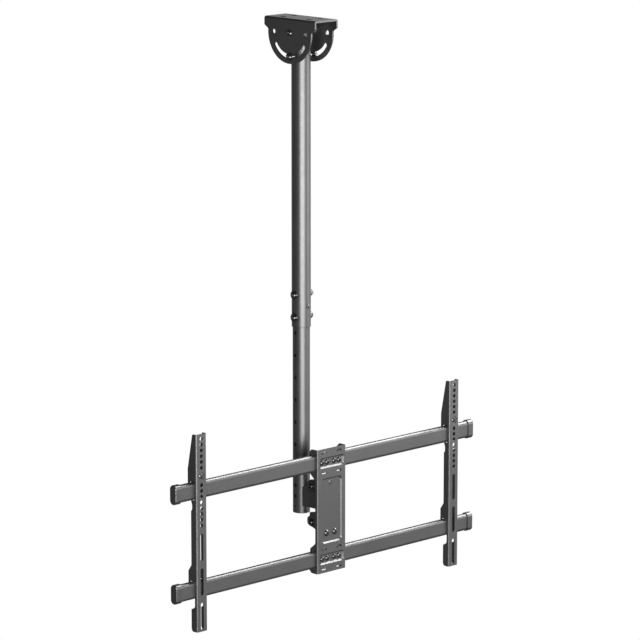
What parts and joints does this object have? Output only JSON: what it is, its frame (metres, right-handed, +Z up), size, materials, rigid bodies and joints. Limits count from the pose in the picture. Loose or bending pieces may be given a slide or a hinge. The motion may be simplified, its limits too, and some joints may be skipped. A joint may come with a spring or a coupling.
{
  "type": "tv ceiling mount",
  "caption": "Ceiling mount for a flat screen: folded ceiling bracket, telescoping poles that swing and swivel, tilting head with two rails and two sliding slotted arms.",
  "frame": {"origin": "centre of the ceiling bracket's top face, on the ceiling, above the axis of the poles", "axes": "+Z up into the ceiling, +X along the rails, the screen hangs on the -Y side"},
  "size_m": [0.901, 0.1751, 1.2676],
  "materials": {
    "black_steel": "satin black powder coat",
    "black_fastener": "glossy black oxide",
    "zinc": "zinc plated",
    "black_plastic": "fine moulded texture"
  },
  "bodies": {
    "ceiling": {"ceiling_bracket": "black_steel", "pivot_bolt": "black_fastener", "pivot_nut": "black_fastener", "pivot_spacers": "zinc"},
    "upper_pole": {"outer_pole": "black_steel", "clamp_bolt": "black_fastener", "clamp_washers": "black_fastener", "clamp_nut": "black_fastener", "wobble_screw": "black_fastener"},
    "swivel": {"height_bolts": "black_fastener", "height_nuts": "black_fastener", "saddle_washers": "black_fastener"},
    "lower_pole": {"inner_pole": "black_steel", "pole_bracket": "black_steel"},
    "head": {"tilt_bracket": "black_steel", "tilt_pivot_bolt": "black_fastener", "tilt_pivot_washers": "black_fastener", "tilt_pivot_nut": "black_fastener", "tilt_lock_bolt": "black_fastener", "tilt_lock_washers": "black_fastener", "tilt_lock_nut": "black_fastener", "centre_plate": "black_steel", "bracket_rivet": "black_fastener", "bracket_screws": "black_fastener", "rail_screws_upper": "black_fastener", "rail_screws_lower": "black_fastener", "rail_upper_left": "black_steel", "rail_upper_right": "black_steel", "rail_lower_left": "black_steel", "rail_lower_right": "black_steel", "end_cap_upper_left": "black_plastic", "end_cap_upper_right": "black_plastic", "end_cap_lower_left": "black_plastic", "end_cap_lower_right": "black_plastic"},
    "left_arm": {"arm_left": "black_steel", "arm_screw_left": "black_fastener"},
    "right_arm": {"arm_right": "black_steel", "arm_screw_right": "black_fastener"}
  },
  "joints": [
    {"name": "swing", "type": "hinge", "parent": "ceiling", "child": "upper_pole", "pos_m": [0, 0, -0.031], "axis": [1, 0, 0], "range_deg": [-55, 55]},
    {"name": "swivel", "type": "hinge", "parent": "upper_pole", "child": "swivel", "pos_m": [0, 0, -0.603], "axis": [0, 0, 1], "range_deg": [-30, 30]},
    {"name": "height", "type": "slide", "parent": "swivel", "child": "lower_pole", "axis": [0, 0, 1], "range_m": [-0.017, 0.283]},
    {"name": "tilt", "type": "hinge", "parent": "lower_pole", "child": "head", "pos_m": [0, -0.048, -1.023], "axis": [1, 0, 0], "range_deg": [-5, 15]},
    {"name": "left_arm_slide", "type": "slide", "parent": "head", "child": "left_arm", "axis": [1, 0, 0], "range_m": [-0.03, 0.28]},
    {"name": "right_arm_slide", "type": "slide", "parent": "head", "child": "right_arm", "axis": [1, 0, 0], "range_m": [-0.28, 0.03]}
  ]
}
